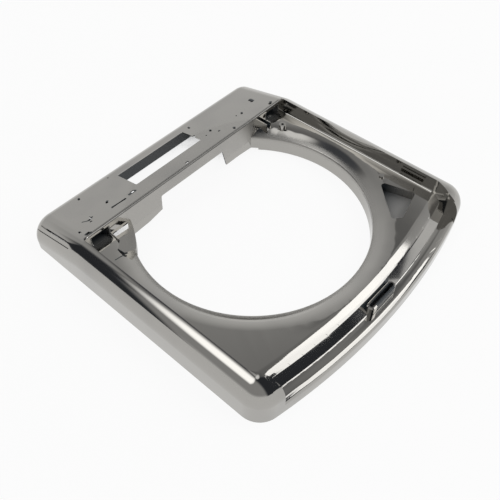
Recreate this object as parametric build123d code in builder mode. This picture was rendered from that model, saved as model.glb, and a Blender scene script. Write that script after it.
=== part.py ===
from build123d import *
import math
import os

os.makedirs("parts", exist_ok=True)

# overall envelope, seen from the front: X right, Y to the rear, Z up
width = 686.0
depth = 686.0
front_bow = 42.0
crest_h = 95.0
shoulder_r = 48.0
wall = 3.0
front_y = -depth / 2
rear_y = depth / 2
side_front_y = front_y + front_bow

# rear deck that carries the console, falling to the rear
deck_d = 153.0
deck_y = rear_y - deck_d
bend_y = deck_y - 5.0
deck_rear_h = crest_h - 34.5
rear_r = 28.0
rear_bevel = 17.5
fold_r = 4.0

# groove along both ends of the deck, on the shoulder
groove_x = width / 2 - 11.7
groove_y = (deck_y + 24.0, rear_y - 17.0)
groove_drop = 17.5
groove_w = 2.0

# lid well between the side rails
rail_w = 40.0
well_half = width / 2 - rail_w
well_step = 3.0
well_step_h = crest_h - 15.0
well_floor_h = crest_h - 35.0
well_fillet = 5.0
cheek_y = front_y + 97.0
cheek_half = well_half - 17.0
cheek_end_y = front_y + 59.0
cheek_r = 22.0

# front apron, given on the centre line and swept along the bow
ridge_y = front_y + 64.0
slope_y = front_y + 46.0
slope_h = well_floor_h - 5.0
drop_y = front_y + 27.0
land_h = well_floor_h - 26.0
bead_y = front_y + 18.0
bead_h = 1.6
lip_r = 12.0
ridge_r = 25.0
slope_r = 12.0
land_r = 4.0

# tub opening with its rolled rim, dished funnel and hanging collar
tub_gap = 45.0
rim_gap = 38.0
tub_r = well_half - tub_gap
tub_y = ridge_y + rim_gap + tub_r
rim_h = well_floor_h - 18.0
rim_r = 7.0
funnel_r = tub_r + 34.0
funnel_roll = 12.0
collar_h = 5.0
apron_gap_left = -101.0
apron_gap_right = 92.0
apron_lean = 12.0
apron_gap_h = well_floor_h + 2.0
apron_end_h = 14.0

# latch pocket standing on the apron
latch_half = 37.0
latch_slot = 8.0
latch_y = front_y + 28.5
latch_rim = 5.0
latch_h = well_floor_h - 3.0
latch_floor_h = land_h + 2.0
latch_r = 0.44 * latch_slot
latch_bevel = 2.5

# lid hinge pockets under the ends of the deck
hinge_x = well_half - 35.0
hinge_half = 22.0
hinge_front_y = deck_y - 20.0
hinge_rear_y = deck_y + 24.0
hinge_floor_h = well_floor_h - 6.0
hinge_roof_h = crest_h - 11.0
hinge_r = 18.0

# hinge stop on the right side only: two ribs and a screw boss
rim_x = math.sqrt(tub_r ** 2 - (deck_y - tub_y) ** 2)
stop_gap = 32.6
stop_x = (rim_x + stop_gap, rim_x + stop_gap + 13.0)
stop_y = (deck_y - 22.0, deck_y + 1.0)
stop_h = well_floor_h + 13.0
stop_t = 3.0
pivot_gap = 28.665
pivot_y = deck_y - 44.0
pivot_at = (math.sqrt((tub_r + pivot_gap) ** 2 - (pivot_y - tub_y) ** 2), pivot_y)
pivot_r = 8.5
pivot_hole_r = 3.4
pivot_h = well_floor_h + 8.0
pivot_d = 18.0

# flat pad with the drain slot, on the left side only, between the hinge pocket and the rim
pad_x = well_half - 59.0
pad_points = ((-pad_x, deck_y - 28), (-pad_x - 18, deck_y - 43), (-pad_x - 16, deck_y - 61))
pad_tip_y = deck_y - 70.0
pad_rear_y = deck_y + 1.0
drain_points = (
    (2 - pad_x, deck_y - 2.5),
    (44 - pad_x, deck_y - 2.5),
    (34 - pad_x, deck_y - 16),
    (2 - pad_x, deck_y - 14),
)

# pocket for the lid switch at the front right, with its bar and peg
switch_points = (
    (well_half - 49, front_y + 205),
    (well_half - 28, front_y + 127),
    (well_half - 107, front_y + 107),
    (well_half - 126, front_y + 122),
)
switch_r = 7.0
switch_floor_h = well_floor_h - 22.0
bar_x = well_half - 21.0
bar_y = (front_y + 136.0, front_y + 193.0)
bar_w = 6.0
bar_h = well_floor_h + 6.0
peg_at = (well_half - 33.0, front_y + 212.0)
peg_r = 6.0
peg_h = well_floor_h + 4.0

# console window, screw holes, snap slots in the deck
window_x = (-126.0, 74.0)
window_y = (rear_y - 104.0, rear_y - 36.0)
window_r = 3.0
window_notch = (window_x[1] + 1.5, rear_y - 79.0, 6.0, 8.0)
screw_r = 3.0
console_screws = ((-203.0, rear_y - 97.0), (111.0, rear_y - 97.0))
screw_at = ((-230, rear_y - 33), (95, rear_y - 41), (205, rear_y - 111), (147, deck_y + 12))
pin_w = 3.2
pin_at = ((-144, rear_y - 26), (120, rear_y - 116), (191, rear_y - 106), (92, rear_y - 102))
snap_w = 9.0
snap_d = 6.5
snap_at = ((14 - well_half, deck_y + 9), (-147, rear_y - 116), (well_half - 30, deck_y + 11))
boss_r = 7.0
boss_h = 16.0
key_at = (well_half - 43.0, rear_y - 94.0)
key_r = 3.6
key_neck = 3.0
wire_slot = (-190.0, rear_y - 121.5, 40.0, 3.2)
light_slot = (-9.0, deck_y + 11.0, 9.0, 4.5)
edge_slot = (18.0 - width / 2, rear_y - 79.0, 2.6, 72.0)
square_slot = (6.0 - well_half, deck_y + 25.0, 5.0, 5.0)
hook_slots = (
    (41 - well_half, rear_y - 119, 5.0, 4.0),
    (44 - well_half, rear_y - 111, 12.0, 3.0),
    (48 - well_half, rear_y - 106, 4.0, 8.0),
)

# stiffening webs under the skin
web = 2.4
web_foot_h = 14.0
side_web_y = (tub_y - 122.0, tub_y + 58.0)
deck_web_x = (-170.0, 170.0)

bow_r = ((width / 2) ** 2 + front_bow ** 2) / (2 * front_bow)
bow_y = front_y + bow_r
deck_fall = (crest_h - deck_rear_h) / (rear_y - bend_y)
tub_axis = Axis((0, tub_y, 0), (0, 0, 1))
bow_axis = Axis((0, bow_y, 0), (0, 0, 1))
below = -2.0
above = crest_h + 30.0


def deck_height(y):
    return crest_h - (y - bend_y) * deck_fall


def outer_body(inset, foot):
    half = width / 2 - inset
    front = bow_r - inset
    back = rear_y - inset
    top = crest_h - inset
    side_y = bow_y - math.sqrt(front ** 2 - half ** 2)
    tilted = Plane((0, bend_y, top), x_dir=(1, 0, 0), z_dir=(0, -1, deck_fall))
    with BuildPart() as body:
        with BuildSketch(Plane.XY.offset(foot)) as plan:
            with BuildLine():
                Polyline((half, side_y), (half, back), (-half, back), (-half, side_y))
                ThreePointArc((-half, side_y), (0, bow_y - front), (half, side_y))
            make_face()
            fillet(plan.vertices().group_by(Axis.Y)[0], shoulder_r - inset)
        extrude(amount=top - foot)
        rims = body.faces().sort_by(Axis.Z)[-1].edges().sort_by(Axis.Y)[:-1]
        fillet(rims, shoulder_r - inset)
        with BuildSketch(tilted) as section:
            with Locations((0, -width / 2)):
                Rectangle(2 * half, width)
            fillet(section.vertices().group_by(Axis.Y)[-1], shoulder_r - inset)
        extrude(amount=2 * width, both=True, mode=Mode.INTERSECT)
        ends = [e for e in body.edges() if abs(e.center().Y - back) < 0.01 and e.center().Z > foot + 1]
        if inset:
            chamfer(ends, rear_bevel)
        else:
            fillet(ends, rear_r)
    return body.part


def apron_sweep(inset):
    lean = math.radians(-115)
    along = (math.cos(lean), math.sin(lean), 0)
    with BuildPart() as sweep_body:
        with BuildSketch(Plane((0, bow_y, 0), x_dir=along, z_dir=(along[1], -along[0], 0))) as profile:
            with BuildLine():
                Polyline(
                    (bow_y - depth, well_floor_h),
                    (bow_y - ridge_y, well_floor_h),
                    (bow_y - slope_y, slope_h),
                    (bow_y - drop_y, land_h),
                    (bow_y - bead_y, land_h),
                    (bow_y - bead_y, land_h + bead_h),
                    (bow_r + 60, land_h + bead_h),
                    (bow_r + 60, above),
                    (bow_y - depth, above),
                    close=True,
                )
            make_face()
            if inset:
                offset(amount=inset, kind=Kind.INTERSECTION)
            else:
                for corner_y, corner_r in ((ridge_y, ridge_r), (slope_y, slope_r), (drop_y, land_r)):
                    fillet(profile.vertices().sort_by(lambda v: abs(v.X - bow_y + corner_y))[0], corner_r)
        revolve(axis=bow_axis, revolution_arc=50)
    return sweep_body.part


def well_prism(inset):
    with BuildPart() as prism:
        for grow, level in ((0.0, below - 20), (well_step, well_step_h - inset)):
            half = well_half + grow + inset
            cheek = cheek_half + grow + inset
            with BuildSketch(Plane.XY.offset(level)) as plan:
                with BuildLine():
                    Polyline(
                        (half, deck_y + inset),
                        (half, cheek_y),
                        (cheek, cheek_end_y),
                        (cheek, -width),
                        (-cheek, -width),
                        (-cheek, cheek_end_y),
                        (-half, cheek_y),
                        (-half, deck_y + inset),
                        close=True,
                    )
                make_face()
                bends = [v for v in plan.vertices() if cheek_end_y - 1 < v.Y < cheek_y + 1]
                fillet(bends, cheek_r)
            extrude(amount=above - level)
    return prism.part


def tub_funnel(inset):
    rise = (well_floor_h - rim_h) / (funnel_r - tub_r)
    slope = math.atan(rise)
    turn = math.pi / 2 - slope
    start = rim_h - rim_r * math.tan(turn / 2)
    steps = (math.tan(0.68 * slope), math.tan(0.34 * slope))
    ring = funnel_roll * rise / sum(steps)
    inner = (funnel_r - funnel_roll, well_floor_h - funnel_roll * rise)
    middle = (inner[0] + ring, inner[1] + ring * steps[0])
    outer = (middle[0] + 1.4 * ring, middle[1] + 1.4 * ring * steps[1])
    if inset:
        flank = [(tub_r, rim_h), inner, outer]
    else:
        arc = [turn * step / 3 for step in range(4)]
        flank = [(tub_r + rim_r * (1 - math.cos(t)), start + rim_r * math.sin(t)) for t in arc]
        flank += [inner, middle, outer]
    with BuildPart() as funnel:
        with BuildSketch(Plane.XZ.offset(-tub_y)):
            with BuildLine():
                Polyline(
                    (0, below - 10),
                    (tub_r, below - 10),
                    *flank,
                    (0, outer[1]),
                    close=True,
                )
            make_face()
            if inset:
                offset(amount=inset, kind=Kind.INTERSECTION)
                with Locations((-tub_r / 2, 0)):
                    Rectangle(tub_r, depth, mode=Mode.SUBTRACT)
        revolve(axis=tub_axis, revolution_arc=360)
        with BuildSketch(Plane.XY.offset(below - 40)):
            with Locations((0, deck_y + inset + deck_d)):
                Rectangle(width, 2 * deck_d)
        extrude(amount=2 * above, mode=Mode.SUBTRACT)
    return funnel.part


def hinge_pockets(inset):
    with BuildPart() as pockets:
        with BuildSketch(Plane.XY.offset(hinge_floor_h - inset)) as plan:
            with Locations((-hinge_x, (hinge_front_y + hinge_rear_y) / 2), (hinge_x, (hinge_front_y + hinge_rear_y) / 2)):
                Rectangle(2 * (hinge_half + inset), hinge_rear_y - hinge_front_y + 2 * inset)
            fillet(plan.vertices(), hinge_r)
        extrude(amount=hinge_roof_h - hinge_floor_h + 8 * inset)
    return pockets.part


def switch_pocket(inset):
    with BuildPart() as pocket:
        with BuildSketch(Plane.XY.offset(switch_floor_h - inset)) as plan:
            with BuildLine():
                Polyline(*switch_points, close=True)
            make_face()
            fillet(plan.vertices(), switch_r)
            if inset:
                offset(amount=inset)
        extrude(amount=above)
    return pocket.part


def latch_block(inset, foot):
    with BuildPart() as block:
        with BuildSketch(Plane.XY.offset(foot)) as plan:
            with Locations((0, latch_y)):
                Rectangle(2 * (latch_half + latch_rim - inset), latch_slot + 2 * (latch_rim - inset))
            fillet(plan.vertices(), latch_r + latch_rim - inset)
        extrude(amount=latch_h - inset - foot)
        if not inset:
            chamfer(block.faces().sort_by(Axis.Z)[-1].edges(), latch_bevel)
    return block.part


def latch_pocket(inset):
    with BuildPart() as pocket:
        with BuildSketch(Plane.XY.offset(latch_floor_h - inset)) as plan:
            with Locations((0, latch_y)):
                Rectangle(2 * (latch_half + inset), latch_slot + 2 * inset)
            fillet(plan.vertices(), latch_r + inset)
        extrude(amount=above)
    return pocket.part


def lid_well(inset):
    with BuildPart() as well:
        add(apron_sweep(inset))
        add(tub_funnel(inset))
        add(well_prism(inset), mode=Mode.INTERSECT)
    return well.part


def form(inset, foot):
    with BuildPart() as solid:
        add(outer_body(inset, foot))
        add(lid_well(inset), mode=Mode.SUBTRACT)
        if not inset:
            fold = [e for e in solid.edges().filter_by(Axis.X) if abs(e.center().Y - deck_y) < 0.01]
            fillet([e for e in fold if e.center().Z > crest_h - 5], fold_r)
        lip = [e for e in solid.edges() if abs(e.center().Z - land_h - bead_h + inset) < 0.01]
        lip = [e for e in lip if e.geom_type == GeomType.CIRCLE and abs(e.radius - bow_r + inset) < 0.01]
        if inset:
            chamfer(lip, (2 - math.sqrt(2)) * (lip_r - inset))
        else:
            fillet(lip, lip_r)
        add(hinge_pockets(inset), mode=Mode.SUBTRACT)
        add(switch_pocket(inset), mode=Mode.SUBTRACT)
        add(latch_block(inset, foot))
        add(latch_pocket(inset), mode=Mode.SUBTRACT)
    return solid.part


def rail_cove():
    with BuildPart() as cove:
        with BuildSketch(Plane.XZ.offset(-deck_y)):
            with BuildLine():
                Polyline(
                    (well_half, well_floor_h + well_fillet),
                    (well_half + 1, well_floor_h + well_fillet),
                    (well_half + 1, well_floor_h - 1),
                    (well_half - well_fillet, well_floor_h - 1),
                    (well_half - well_fillet, well_floor_h),
                )
                RadiusArc(
                    (well_half - well_fillet, well_floor_h),
                    (well_half, well_floor_h + well_fillet),
                    -well_fillet,
                )
            make_face()
        extrude(amount=deck_y - cheek_y - 6)
        mirror(about=Plane.YZ)
    return cove.part


def hang_gap():
    reach = tub_r + 20
    with BuildPart() as gap:
        with BuildSketch(Plane.XZ.offset(-deck_y - wall - 6)) as outline:
            with BuildLine():
                Polyline(
                    (apron_gap_left, apron_gap_h),
                    (apron_gap_left - 2, apron_end_h + 9),
                    (apron_gap_left - 42, apron_end_h),
                    (-reach, collar_h),
                    (-reach, below - 10),
                    (reach, below - 10),
                    (reach, collar_h),
                    (apron_gap_right + 55, apron_end_h),
                    (apron_gap_right + apron_lean, apron_end_h),
                    (apron_gap_right, apron_gap_h),
                    close=True,
                )
            make_face()
            fillet(outline.vertices().group_by(Axis.Y)[-1], 4)
        extrude(amount=wall + 20)
        with BuildSketch(Plane.XY.offset(below - 10)):
            with Locations((0, tub_y)):
                Circle(tub_r + wall + 3)
        extrude(amount=collar_h - below + 10)
    return gap.part


def end_grooves():
    low = groove_drop + groove_w
    with BuildPart() as grooves:
        with BuildSketch(Plane.YZ.offset(groove_x)):
            with BuildLine():
                Polyline(
                    (groove_y[0], deck_height(groove_y[0]) - groove_drop),
                    (groove_y[1], deck_height(groove_y[1]) - groove_drop),
                    (groove_y[1], deck_height(groove_y[1]) - low),
                    (groove_y[0], deck_height(groove_y[0]) - low),
                    close=True,
                )
            make_face()
        extrude(amount=20)
        mirror(about=Plane.YZ)
    return grooves.part


def deck_bosses():
    with BuildPart() as bosses:
        for x, y in console_screws:
            with BuildSketch(Plane.XY.offset(deck_height(y) - boss_h)):
                with Locations((x, y)):
                    Circle(boss_r)
            extrude(amount=boss_h - 1.5)
    return bosses.part


def deck_cuts():
    low = deck_rear_h - 30
    with BuildPart() as cuts:
        with BuildSketch(Plane.XY.offset(low)) as window:
            with Locations((sum(window_x) / 2, sum(window_y) / 2)):
                Rectangle(window_x[1] - window_x[0], window_y[1] - window_y[0])
            fillet(window.vertices(), window_r)
            with Locations(*console_screws, *screw_at):
                Circle(screw_r)
            with Locations(*pin_at):
                Rectangle(pin_w, pin_w)
            with Locations(*snap_at):
                Rectangle(snap_w, snap_d)
            with Locations(key_at):
                Circle(key_r)
            with Locations((key_at[0], key_at[1] + key_r + 2)):
                SlotOverall(2 * key_r + 4, key_neck, rotation=90)
            for x, y, w, d in (light_slot, edge_slot, square_slot, window_notch, *hook_slots):
                with Locations((x, y)):
                    Rectangle(w, d)
            with Locations((wire_slot[0], wire_slot[1])):
                SlotOverall(wire_slot[2], wire_slot[3])
        extrude(amount=above - low)
    return cuts.part


def floor_cuts():
    with BuildPart() as cuts:
        with BuildSketch(Plane.XY.offset(rim_h - 15)):
            with BuildLine():
                Polyline(*drain_points, close=True)
            make_face()
            with Locations(pivot_at):
                Circle(pivot_hole_r)
        extrude(amount=above - rim_h)
    return cuts.part


def drain_pad(inset):
    ring = tub_r + inset
    tip_y = pad_tip_y + inset
    rear = pad_rear_y + 2 * inset
    tip = (-math.sqrt(ring ** 2 - (tip_y - tub_y) ** 2), tip_y)
    end = (-math.sqrt(ring ** 2 - (rear - tub_y) ** 2), rear)
    with BuildPart() as pad:
        with BuildSketch(Plane.XY.offset(rim_h - 5 - 4 * inset)) as plan:
            with BuildLine():
                Polyline(tip, *[(x + inset, y) for x, y in reversed(pad_points)])
                Polyline((pad_points[0][0] + inset, pad_points[0][1]), (pad_points[0][0] + inset, rear), end)
                RadiusArc(end, tip, ring)
            make_face()
        extrude(amount=well_floor_h - rim_h + 5 + 3 * inset)
    return pad.part


def floor_raised():
    base = well_floor_h - 10
    with BuildPart() as raised:
        with BuildSketch(Plane.XY.offset(base)):
            for x in stop_x:
                with Locations((x, sum(stop_y) / 2)):
                    Rectangle(stop_t, stop_y[1] - stop_y[0])
        extrude(amount=stop_h - base)
        with BuildSketch(Plane.XY.offset(pivot_h - pivot_d)):
            with Locations(pivot_at):
                Circle(pivot_r)
        extrude(amount=pivot_d)
        with BuildSketch(Plane.XY.offset(well_floor_h - 2)):
            with Locations((bar_x, sum(bar_y) / 2)):
                Rectangle(bar_w, bar_y[1] - bar_y[0])
        extrude(amount=bar_h - well_floor_h + 2)
        with BuildSketch(Plane.XY.offset(well_floor_h - 2)):
            with Locations(peg_at):
                Circle(peg_r)
        extrude(amount=peg_h - well_floor_h + 2)
    return raised.part


def under_webs():
    with BuildPart() as webs:
        with BuildSketch(Plane.XY.offset(web_foot_h)):
            for y in side_web_y:
                with Locations((0, y)):
                    Rectangle(width, web)
        extrude(amount=above)
        with BuildSketch(Plane.XY.offset(deck_rear_h - 25)):
            for x in deck_web_x:
                with Locations((x, rear_y - deck_d / 2)):
                    Rectangle(web, deck_d)
        extrude(amount=above)
        add(form(wall - 0.6, web_foot_h - 5), mode=Mode.INTERSECT)
    return webs.part


with BuildPart() as top_cover:
    add(form(0.0, 0.0))
    add(form(wall, below), mode=Mode.SUBTRACT)
    add(under_webs())
    add(rail_cove())
    add(drain_pad(0.0))
    add(drain_pad(wall), mode=Mode.SUBTRACT)
    add(floor_raised())
    add(deck_bosses())
    add(hang_gap(), mode=Mode.SUBTRACT)
    add(deck_cuts(), mode=Mode.SUBTRACT)
    add(end_grooves(), mode=Mode.SUBTRACT)
    add(floor_cuts(), mode=Mode.SUBTRACT)

top_cover.part.label = "top_cover"
export_step(top_cover.part, "parts/top_cover.step")
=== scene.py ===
import math

import bpy
import numpy as np
from mathutils import Matrix, Vector

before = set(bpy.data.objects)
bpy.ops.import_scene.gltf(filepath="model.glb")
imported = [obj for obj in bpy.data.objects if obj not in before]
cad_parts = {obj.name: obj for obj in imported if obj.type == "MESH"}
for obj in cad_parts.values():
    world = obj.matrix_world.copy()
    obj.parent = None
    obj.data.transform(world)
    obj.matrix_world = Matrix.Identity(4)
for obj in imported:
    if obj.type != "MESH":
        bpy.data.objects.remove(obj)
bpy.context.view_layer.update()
scene = bpy.context.scene
scene.view_settings.view_transform = "Standard"
print("frame loaded", sorted(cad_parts))


# photo camera: its place, its right and back directions, and lens and sensor in mm
photoCamera = {
    "place": (-0.6996, -0.6004, 1.0375),
    "right": (0.6651, -0.7467, 0.0),
    "back": (-0.4804, -0.4279, 0.7656),
    "lens": 45.53,
    "sensor": 36.0,
    "clipEnd": 60.0,
}


def makeCamera(spec):
    back = Vector(spec["back"]).normalized()
    right = Vector(spec["right"])
    right = (right - back * right.dot(back)).normalized()
    up = back.cross(right)
    turn = Matrix((right, up, back)).transposed().to_4x4()
    data = bpy.data.cameras.new("photoCamera")
    data.lens = spec["lens"]
    data.sensor_width = spec["sensor"]
    data.clip_end = spec["clipEnd"]
    camera = bpy.data.objects.new("photoCamera", data)
    camera.matrix_world = Matrix.Translation(spec["place"]) @ turn
    scene.collection.objects.link(camera)
    scene.camera = camera


makeCamera(photoCamera)
print("camera set")


rise = (0.0, 1.0)
fall = (1.0, 0.0)
mixSockets = {"FLOAT": (2, 3, 0), "RGBA": (6, 7, 2)}  # first, second, result


def socket(node, name, value):
    node.inputs[name].default_value = value


# a number, vector or colour is set on the socket, and an output is linked to it
def feed(tree, value, target):
    if isinstance(value, (float, tuple)):
        target.default_value = value
    else:
        tree.links.new(value, target)


def mathNode(tree, operation, first, second):
    node = tree.nodes.new("ShaderNodeMath")
    node.operation = operation
    feed(tree, first, node.inputs[0])
    feed(tree, second, node.inputs[1])
    return node.outputs[0]


def vectorNode(tree, operation, first, second):
    node = tree.nodes.new("ShaderNodeVectorMath")
    node.operation = operation
    feed(tree, first, node.inputs[0])
    feed(tree, second, node.inputs[1])
    return node.outputs["Value" if operation in ("DISTANCE", "DOT_PRODUCT") else "Vector"]


def rangeNode(tree, value, source, target, kind="LINEAR"):
    node = tree.nodes.new("ShaderNodeMapRange")
    node.interpolation_type = kind
    names = ("From Min", "From Max", "To Min", "To Max")
    for name, number in zip(names, (*source, *target)):
        socket(node, name, number)
    tree.links.new(value, node.inputs["Value"])
    return node.outputs["Result"]


def mixNode(tree, kind, factor, first, second):
    node = tree.nodes.new("ShaderNodeMix")
    node.data_type = kind
    firstSlot, secondSlot, result = mixSockets[kind]
    tree.links.new(factor, node.inputs[0])
    feed(tree, first, node.inputs[firstSlot])
    feed(tree, second, node.inputs[secondSlot])
    return node.outputs[result]


def shaderMix(tree, factor, first, second):
    node = tree.nodes.new("ShaderNodeMixShader")
    for slot, value in enumerate((factor, first, second)):
        tree.links.new(value, node.inputs[slot])
    return node.outputs[0]


# normals of the moulded skin, and a mark on the faces that the skin roofs over or that face
# across a narrow slot, which get painted shade as dark plastic
skin = {
    "merge": 0.00001,
    "sharpAngle": 0.42,
    "weight": 50,
    "lift": 0.0003,
    "roofReach": 0.2,
    "slotReach": 0.0105,
}


def dressSkin(obj, spec):
    group = bpy.data.node_groups.new("skinNormals", "GeometryNodeTree")
    for way in ("INPUT", "OUTPUT"):
        group.interface.new_socket("Geometry", in_out=way, socket_type="NodeSocketGeometry")
    add = group.nodes.new
    link = group.links.new
    start = add("NodeGroupInput")
    end = add("NodeGroupOutput")
    merge = add("GeometryNodeMergeByDistance")
    socket(merge, "Distance", spec["merge"])
    smoothFaces = add("GeometryNodeSetShadeSmooth")
    smoothFaces.domain = "FACE"
    socket(smoothFaces, "Shade Smooth", True)
    angle = add("GeometryNodeInputMeshEdgeAngle")
    steep = add("FunctionNodeCompare")
    steep.data_type = "FLOAT"
    steep.operation = "GREATER_THAN"
    steep.inputs[1].default_value = spec["sharpAngle"]
    sharpEdges = add("GeometryNodeSetShadeSmooth")
    sharpEdges.domain = "EDGE"
    socket(sharpEdges, "Shade Smooth", False)
    link(start.outputs[0], merge.inputs["Geometry"])
    link(merge.outputs[0], smoothFaces.inputs["Geometry"])
    link(smoothFaces.outputs[0], sharpEdges.inputs["Geometry"])
    link(angle.outputs[0], steep.inputs[0])
    link(steep.outputs[0], sharpEdges.inputs["Selection"])

    # a face is marked for painted shade when the skin roofs it over, or faces it across a narrow
    # slot
    place = add("GeometryNodeInputPosition")
    facing = add("GeometryNodeInputNormal")
    lifted = add("ShaderNodeVectorMath")
    lifted.operation = "MULTIPLY_ADD"
    lifted.inputs[1].default_value = (spec["lift"],) * 3
    link(facing.outputs[0], lifted.inputs[0])
    link(place.outputs[0], lifted.inputs[2])
    roof = add("GeometryNodeRaycast")
    socket(roof, "Ray Direction", (0.0, 0.0, 1.0))
    socket(roof, "Ray Length", spec["roofReach"])
    slot = add("GeometryNodeRaycast")
    socket(slot, "Ray Length", spec["slotReach"])
    link(facing.outputs[0], slot.inputs["Ray Direction"])
    either = add("FunctionNodeBooleanMath")
    either.operation = "OR"
    for side, cast in enumerate((roof, slot)):
        link(sharpEdges.outputs[0], cast.inputs["Target Geometry"])
        link(lifted.outputs[0], cast.inputs["Source Position"])
        link(cast.outputs["Is Hit"], either.inputs[side])
    mark = add("GeometryNodeStoreNamedAttribute")
    mark.data_type = "FLOAT"
    mark.domain = "FACE"
    socket(mark, "Name", "bareShade")
    link(sharpEdges.outputs[0], mark.inputs["Geometry"])
    link(either.outputs[0], mark.inputs["Value"])
    link(mark.outputs[0], end.inputs[0])
    modifier = obj.modifiers.new("skinNormals", "NODES")
    modifier.node_group = group
    weighted = obj.modifiers.new("skinWeights", "WEIGHTED_NORMAL")
    weighted.mode = "FACE_AREA"
    weighted.weight = spec["weight"]
    weighted.keep_sharp = True


# bright metallic coat over dark moulded plastic, with painted shade in recesses, pockets, slots
# and round holes; a box is its x, y and z ranges in metres, and a stroke is its start, end and
# half width
metalCoat = {
    "coatColor": (0.385, 0.375, 0.354, 1.0),
    "hazeColor": (0.350, 0.342, 0.326, 1.0),
    # near-black colour of the painted shade, drawn as dark non-metal plastic
    "bareShadeColor": (0.030, 0.037, 0.042, 1.0),
    # the latch pocket's mouth is painted near-black as shade
    "latchMouth": ((-0.027, 0.033), (-0.3245, -0.3085), (0.0355, 0.0600)),
    "hingeMouths": (
        ((-0.293, -0.243), (0.167, 0.218), (0.0530, 0.0850)),
        ((0.243, 0.293), (0.167, 0.218), (0.0530, 0.0850)),
    ),
    "hingeBrow": ((-0.300, -0.236), (0.165, 0.200), (0.062, 0.0955)),
    # the painted shade in the hinge pockets darkens from y 0.172 toward the rear at y 0.206
    "hingeFade": (0.172, 0.206),
    # strokes of painted shade round the deck's holes and slots, and dark joint lines round the
    # pad
    "strokes": (
        ((-0.2282, 0.3132), (-0.2282, 0.3132), 0.0028),
        ((-0.2000, 0.2490), (-0.2000, 0.2490), 0.0032),
        ((-0.2067, 0.2235), (-0.1727, 0.2196), 0.0018),
        ((-0.1579, 0.2247), (-0.1424, 0.2244), 0.0034),
        ((-0.2738, 0.2388), (-0.2620, 0.2296), 0.0014),
        ((-0.2620, 0.2296), (-0.2507, 0.2349), 0.0016),
        ((-0.2940, 0.1992), (-0.2840, 0.1960), 0.0030),
        ((-0.2970, 0.2180), (-0.2970, 0.2180), 0.0022),
        ((0.0962, 0.3059), (0.0962, 0.3059), 0.0025),
        ((0.1132, 0.2490), (0.1132, 0.2490), 0.0030),
        ((0.1220, 0.2275), (0.1220, 0.2275), 0.0026),
        ((0.1490, 0.2055), (0.1490, 0.2055), 0.0036),
        ((0.2080, 0.2350), (0.2080, 0.2350), 0.0030),
        ((0.2640, 0.2500), (0.2650, 0.2580), 0.0046),
        ((0.2790, 0.2045), (0.2790, 0.2045), 0.0042),
        ((-0.2620, 0.1470), (-0.2600, 0.1290), 0.0011),
        ((-0.2600, 0.1290), (-0.2450, 0.1200), 0.0011),
        ((-0.2600, 0.1290), (-0.2840, 0.1290), 0.0011),
    ),
    "strokeSoft": (0.7, 1.2),  # shares of the half width
    "strokeFoot": 0.055,
    "tubCenter": (0.0, 0.017, 0.0),
    "rimFade": (0.262, 0.274),
    "rimFoot": 0.034,
    "rimRoughness": 0.34,
    # the deck fold's box, normal tilt range and painted shade colour
    "foldLine": ((-0.296, 0.296), (0.1800, 0.1960), (0.0850, 0.0960)),
    "foldTilt": (0.15, 0.985),
    "foldShadeColor": (0.14, 0.137, 0.131, 1.0),
    "switchFloor": ((0.15, 0.29), (-0.25, -0.12), (0.0372, 0.0388)),
    "switchColor": (0.30, 0.297, 0.29, 1.0),
    "switchMouth": ((0.15, 0.29), (-0.25, -0.12), (0.0370, 0.0575)),
    "switchSide": (0.7345, -0.681, 0.0),
    "switchEdge": 0.2792,
    # the painted shade in the switch pocket darkens toward the rear over this y range
    "switchFade": (-0.205, -0.150),
    "rightRail": ((0.262, 0.345), (-0.345, 0.345), (0.045, 0.096)),
    "roughness": (0.055, 0.085),
    "bareRoughness": 0.42,
    "hazeNoise": {"scale": 9.0, "detail": 2.0},
    "hazeRange": (0.48, 0.72),
    "rubNoise": {"scale": 1.0, "detail": 1.0, "stretch": (22.0, 5.0, 22.0)},
    "rubRange": (0.50, 0.75),
    "peelNoise": {"scale": 120.0, "detail": 2.0},
    "peelDepth": 0.0000006,
    "grainNoise": {"scale": 1500.0, "detail": 1.0},
    "grainDepth": 0.00003,
}


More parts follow.
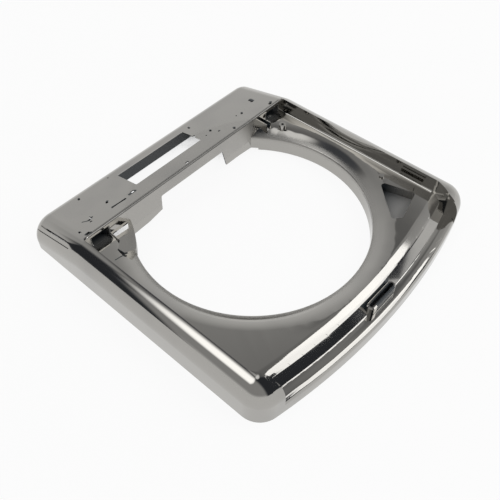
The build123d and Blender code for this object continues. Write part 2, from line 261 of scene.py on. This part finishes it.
def makeMetalCoat(spec):
    material = bpy.data.materials.new("metalCoat")
    material.use_nodes = True
    tree = material.node_tree
    nodes = tree.nodes
    link = tree.links.new
    shader = nodes["Principled BSDF"]
    where = nodes.new("ShaderNodeTexCoord")
    bareShade = nodes.new("ShaderNodeAttribute")
    bareShade.attribute_name = "bareShade"
    axes = nodes.new("ShaderNodeSeparateXYZ")
    link(where.outputs["Object"], axes.inputs[0])
    along, height = axes.outputs[1], axes.outputs[2]
    level = vectorNode(tree, "MULTIPLY", where.outputs["Object"], (1.0, 1.0, 0.0))

    def noise(scale, detail, stretch=None):
        field = nodes.new("ShaderNodeTexNoise")
        socket(field, "Scale", scale)
        socket(field, "Detail", detail)
        if stretch is None:
            link(where.outputs["Object"], field.inputs["Vector"])
        else:
            turn = nodes.new("ShaderNodeMapping")
            socket(turn, "Scale", stretch)
            link(where.outputs["Object"], turn.inputs["Vector"])
            link(turn.outputs[0], field.inputs["Vector"])
        return field.outputs[0]

    def remap(value, source, target=rise):
        return rangeNode(tree, value, source, target)

    def product(first, second):
        return mathNode(tree, "MULTIPLY", first, second)

    def most(first, second):
        return mathNode(tree, "MAXIMUM", first, second)

    def above(value, edge):
        return mathNode(tree, "GREATER_THAN", value, edge)

    def between(value, low, high):
        return product(above(value, low), mathNode(tree, "LESS_THAN", value, high))

    def within(box):
        sides = [between(axes.outputs[axis], *ends) for axis, ends in enumerate(box)]
        return product(product(sides[0], sides[1]), sides[2])

    def stroke(start, end, half):
        run = (end[0] - start[0], end[1] - start[1], 0.0)
        offset = vectorNode(tree, "SUBTRACT", level, (*start, 0.0))
        if start == end:
            distance = vectorNode(tree, "DISTANCE", offset, (0.0, 0.0, 0.0))
        else:
            reach = vectorNode(tree, "DOT_PRODUCT", offset, run)
            path = nodes.new("ShaderNodeVectorMath")
            path.operation = "SCALE"
            path.inputs[0].default_value = run
            link(remap(reach, (0.0, run[0] ** 2 + run[1] ** 2)), path.inputs["Scale"])
            distance = vectorNode(tree, "DISTANCE", offset, path.outputs[0])
        return remap(distance, [share * half for share in spec["strokeSoft"]], fall)

    # marked faces get painted shade as near-black plastic, but not in the hinge pockets, under
    # their brow or on the right rail
    hinge = most(within(spec["hingeMouths"][0]), within(spec["hingeMouths"][1]))
    shadeExempt = most(most(hinge, within(spec["hingeBrow"])), within(spec["rightRail"]))
    marked = product(bareShade.outputs["Fac"], remap(shadeExempt, rise, fall))
    # in the hinge and switch pockets a painted shade darkens toward the rear
    pocketShade = product(hinge, remap(along, spec["hingeFade"]))
    across = vectorNode(tree, "DOT_PRODUCT", where.outputs["Object"], spec["switchSide"])
    switch = product(within(spec["switchMouth"]), above(across, spec["switchEdge"]))
    pocketShade = most(pocketShade, product(switch, remap(along, spec["switchFade"])))
    # painted shade round the deck's holes and slots, and dark joint lines round the pad
    holeShadeAndJoints = stroke(*spec["strokes"][0])
    for line in spec["strokes"][1:]:
        holeShadeAndJoints = most(holeShadeAndJoints, stroke(*line))
    holeShadeAndJoints = product(holeShadeAndJoints, above(height, spec["strokeFoot"]))
    # the mouth of the latch pocket is painted near-black as shade, and the floor of the switch
    # pocket is a pale plastic
    dark = most(most(marked, pocketShade), most(within(spec["latchMouth"]), holeShadeAndJoints))
    switchFloor = within(spec["switchFloor"])
    plain = most(dark, switchFloor)

    # painted shade along the rounded fold of the deck, on the faces that tilt between flat and
    # upright
    surface = nodes.new("ShaderNodeNewGeometry")
    tilt = nodes.new("ShaderNodeSeparateXYZ")
    link(surface.outputs["Normal"], tilt.inputs[0])
    foldShade = product(within(spec["foldLine"]), between(tilt.outputs[2], *spec["foldTilt"]))

    # the rim of the tub opening is rubbed dull
    rubbed = remap(vectorNode(tree, "DISTANCE", level, spec["tubCenter"]), spec["rimFade"], fall)
    rubbed = product(rubbed, above(height, spec["rimFoot"]))

    # hand haze in broad patches, and faint rub lines that run along the rails
    haze = remap(noise(**spec["hazeNoise"]), spec["hazeRange"])
    rub = remap(noise(**spec["rubNoise"]), spec["rubRange"])
    color = mixNode(tree, "RGBA", haze, spec["coatColor"], spec["hazeColor"])
    # the fold gets its painted shade colour
    color = mixNode(tree, "RGBA", foldShade, color, spec["foldShadeColor"])
    color = mixNode(tree, "RGBA", switchFloor, color, spec["switchColor"])
    # all the painted shade marks above take the near-black colour and turn non-metal
    color = mixNode(tree, "RGBA", dark, color, spec["bareShadeColor"])
    link(color, shader.inputs["Base Color"])
    dull = remap(most(haze, rub), rise, spec["roughness"])
    dull = mixNode(tree, "FLOAT", rubbed, dull, spec["rimRoughness"])
    dull = mixNode(tree, "FLOAT", plain, dull, spec["bareRoughness"])
    link(dull, shader.inputs["Roughness"])
    link(remap(plain, rise, fall), shader.inputs["Metallic"])

    # fine orange peel under the coat, and a moulded grain on the non-metal faces
    peel = nodes.new("ShaderNodeBump")
    socket(peel, "Distance", spec["peelDepth"])
    link(noise(**spec["peelNoise"]), peel.inputs["Height"])
    grain = nodes.new("ShaderNodeBump")
    socket(grain, "Distance", spec["grainDepth"])
    link(noise(**spec["grainNoise"]), grain.inputs["Height"])
    link(plain, grain.inputs["Strength"])
    link(peel.outputs[0], grain.inputs["Normal"])
    link(grain.outputs[0], shader.inputs["Normal"])
    return material


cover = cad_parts["top_cover"]
dressSkin(cover, skin)
cover.data.materials.clear()
cover.data.materials.append(makeMetalCoat(metalCoat))
print("skin finished")


# pale studio floor with a low rim far off, white to the camera and in reflections,
# with the part's own soft shadow; a ring is its radius and height
studio = {
    "rings": ((18.0, 0.0), (19.2, 0.5), (19.6, 3.3)),
    "sides": 64,
    "floorColor": (0.95, 0.95, 0.95, 1.0),
    "floorGlow": 0.92,
    "glowStrength": 1.0,
    "openSamples": 16,
    "openReach": 0.25,
    "openShare": (0.035, 0.07),
}


def makeFloor(spec):
    sides = spec["sides"]
    turns = np.arange(sides) * math.tau / sides
    points = [(r * math.cos(t), r * math.sin(t), z) for r, z in spec["rings"] for t in turns]
    faces = [list(range(sides))]
    for ring in range(len(spec["rings"]) - 1):
        for step in range(sides):
            near = ring * sides + step
            beside = ring * sides + (step + 1) % sides
            faces.append([near, near + sides, beside + sides, beside])
    mesh = bpy.data.meshes.new("studioFloor")
    mesh.from_pydata(points, [], faces)
    floor = bpy.data.objects.new("studioFloor", mesh)
    scene.collection.objects.link(floor)
    material = bpy.data.materials.new("floorPaper")
    material.use_nodes = True
    tree = material.node_tree
    nodes = tree.nodes
    nodes.remove(nodes["Principled BSDF"])
    paper = nodes.new("ShaderNodeBsdfDiffuse")
    socket(paper, "Color", spec["floorColor"])
    glow = nodes.new("ShaderNodeEmission")
    socket(glow, "Strength", spec["glowStrength"])
    path = nodes.new("ShaderNodeLightPath")
    seen = path.outputs["Is Camera Ray"]
    for ray in ("Is Glossy Ray", "Is Transmission Ray"):
        seen = mathNode(tree, "MAXIMUM", seen, path.outputs[ray])
    share = mathNode(tree, "MULTIPLY", seen, spec["floorGlow"])
    # paper that the part closes in on all sides stays in its shadow
    sky = nodes.new("ShaderNodeAmbientOcclusion")
    sky.samples = spec["openSamples"]
    socket(sky, "Distance", spec["openReach"])
    openSky = rangeNode(tree, sky.outputs["AO"], spec["openShare"], rise)
    lit = mathNode(tree, "MULTIPLY", share, openSky)
    white = shaderMix(tree, lit, paper.outputs[0], glow.outputs[0])
    # from below the paper is clear, so the underside can be looked at
    surface = nodes.new("ShaderNodeNewGeometry")
    clear = nodes.new("ShaderNodeBsdfTransparent")
    sided = shaderMix(tree, surface.outputs["Backfacing"], white, clear.outputs[0])
    tree.links.new(sided, nodes["Material Output"].inputs["Surface"])
    mesh.materials.append(material)


# studio round the part, by direction: a pale backdrop at the right and rear that darkens upward,
# a pale strip low at the left, a pale line along the rear horizon, two soft glows and two
# dark gaps; heights and edges run from low to high, and so do the levels that go with them
studioWorld = {
    "dark": 0.05,
    "darkTint": (0.90, 0.97, 1.12, 1.0),
    "lightTint": (1.0, 1.0, 1.0, 1.0),
    "tintEdge": (0.0, 0.2),
    "backdropSides": ((0.875, 0.485, 0.0), (0.616, 0.788, 0.0)),
    "backdropEdge": (-0.06, 0.08),
    "backdropLevel": (0.82, -0.68),
    "leftSides": ((-0.31, -0.823, 0.476), (-1.0, 0.0, 0.0)),
    "leftEdges": ((-0.03, 0.05), (0.25, 0.45)),
    "leftHeight": (0.05, 0.35),
    "leftLevel": (1.07, 0.42),
    "horizonSide": (0.0, 1.0, 0.0),
    "horizonEdge": (0.0, 0.2),
    "horizonHeight": (0.08, 0.22),
    "horizonLevel": (0.62, 0.0),
    "glows": (
        {"toward": (-0.458, 0.360, 0.813), "edge": (0.950, 0.996), "level": (0.0, 2.5)},
        {"toward": (-0.087, 0.174, 0.981), "edge": (0.982, 0.999), "level": (0.0, 1.3)},
    ),
    "gaps": (
        {"toward": (-0.067, 0.485, 0.872), "edge": (0.974, 0.997), "level": (1.0, 0.2)},
        {"toward": (0.592, 0.272, 0.758), "edge": (0.986, 0.998), "level": (1.0, 0.4)},
    ),
}


def makeWorld(spec):
    world = bpy.data.worlds.new("studioWorld")
    scene.world = world
    world.use_nodes = True
    tree = world.node_tree
    back = tree.nodes["Background"]
    where = tree.nodes.new("ShaderNodeTexCoord")
    heading = tree.nodes.new("ShaderNodeVectorMath")
    heading.operation = "NORMALIZE"
    tree.links.new(where.outputs["Generated"], heading.inputs[0])

    def toward(direction):
        return vectorNode(tree, "DOT_PRODUCT", heading.outputs[0], direction)

    def ease(value, source, target=rise):
        return rangeNode(tree, value, source, target, "SMOOTHSTEP")

    def product(first, second):
        return mathNode(tree, "MULTIPLY", first, second)

    def most(first, second):
        return mathNode(tree, "MAXIMUM", first, second)

    # backdrop level = base + slope * height squared
    height = toward((0.0, 0.0, 1.0))
    base, slope = spec["backdropLevel"]
    backdrop = mathNode(tree, "ADD", product(product(height, height), slope), base)
    for side in spec["backdropSides"]:
        backdrop = product(backdrop, ease(toward(side), spec["backdropEdge"]))
    for gap in spec["gaps"]:
        backdrop = product(backdrop, ease(toward(gap["toward"]), gap["edge"], gap["level"]))
    strip = ease(height, spec["leftHeight"], spec["leftLevel"])
    for side, edge in zip(spec["leftSides"], spec["leftEdges"]):
        strip = product(strip, ease(toward(side), edge))
    horizon = ease(height, spec["horizonHeight"], spec["horizonLevel"])
    horizon = product(horizon, ease(toward(spec["horizonSide"]), spec["horizonEdge"]))
    light = most(most(backdrop, strip), horizon)
    for glow in spec["glows"]:
        light = most(light, ease(toward(glow["toward"]), glow["edge"], glow["level"]))
    tree.links.new(mathNode(tree, "ADD", light, spec["dark"]), back.inputs["Strength"])
    # the dark parts of the studio are a little cool
    tinted = ease(light, spec["tintEdge"])
    tint = mixNode(tree, "RGBA", tinted, spec["darkTint"], spec["lightTint"])
    tree.links.new(tint, back.inputs["Color"])


# a long soft box from the front right up to overhead
frontBox = {
    "place": (5.458, -7.216, 7.887),
    "along": (-0.109, -0.782, -0.614),
    "size": (12.5, 6.8),
    "power": 590.0,
}


def makeLamp(name, spec):
    data = bpy.data.lights.new(name, "AREA")
    data.shape = "RECTANGLE"
    data.size, data.size_y = spec["size"]
    data.energy = spec["power"]
    lamp = bpy.data.objects.new(name, data)
    away = Vector(spec["place"]).normalized()
    along = Vector(spec["along"])
    along = (along - away * along.dot(away)).normalized()
    turn = Matrix((along, away.cross(along), away)).transposed().to_4x4()
    lamp.matrix_world = Matrix.Translation(spec["place"]) @ turn
    scene.collection.objects.link(lamp)


makeFloor(studio)
makeWorld(studioWorld)
makeLamp("frontBox", frontBox)
print("studio set")
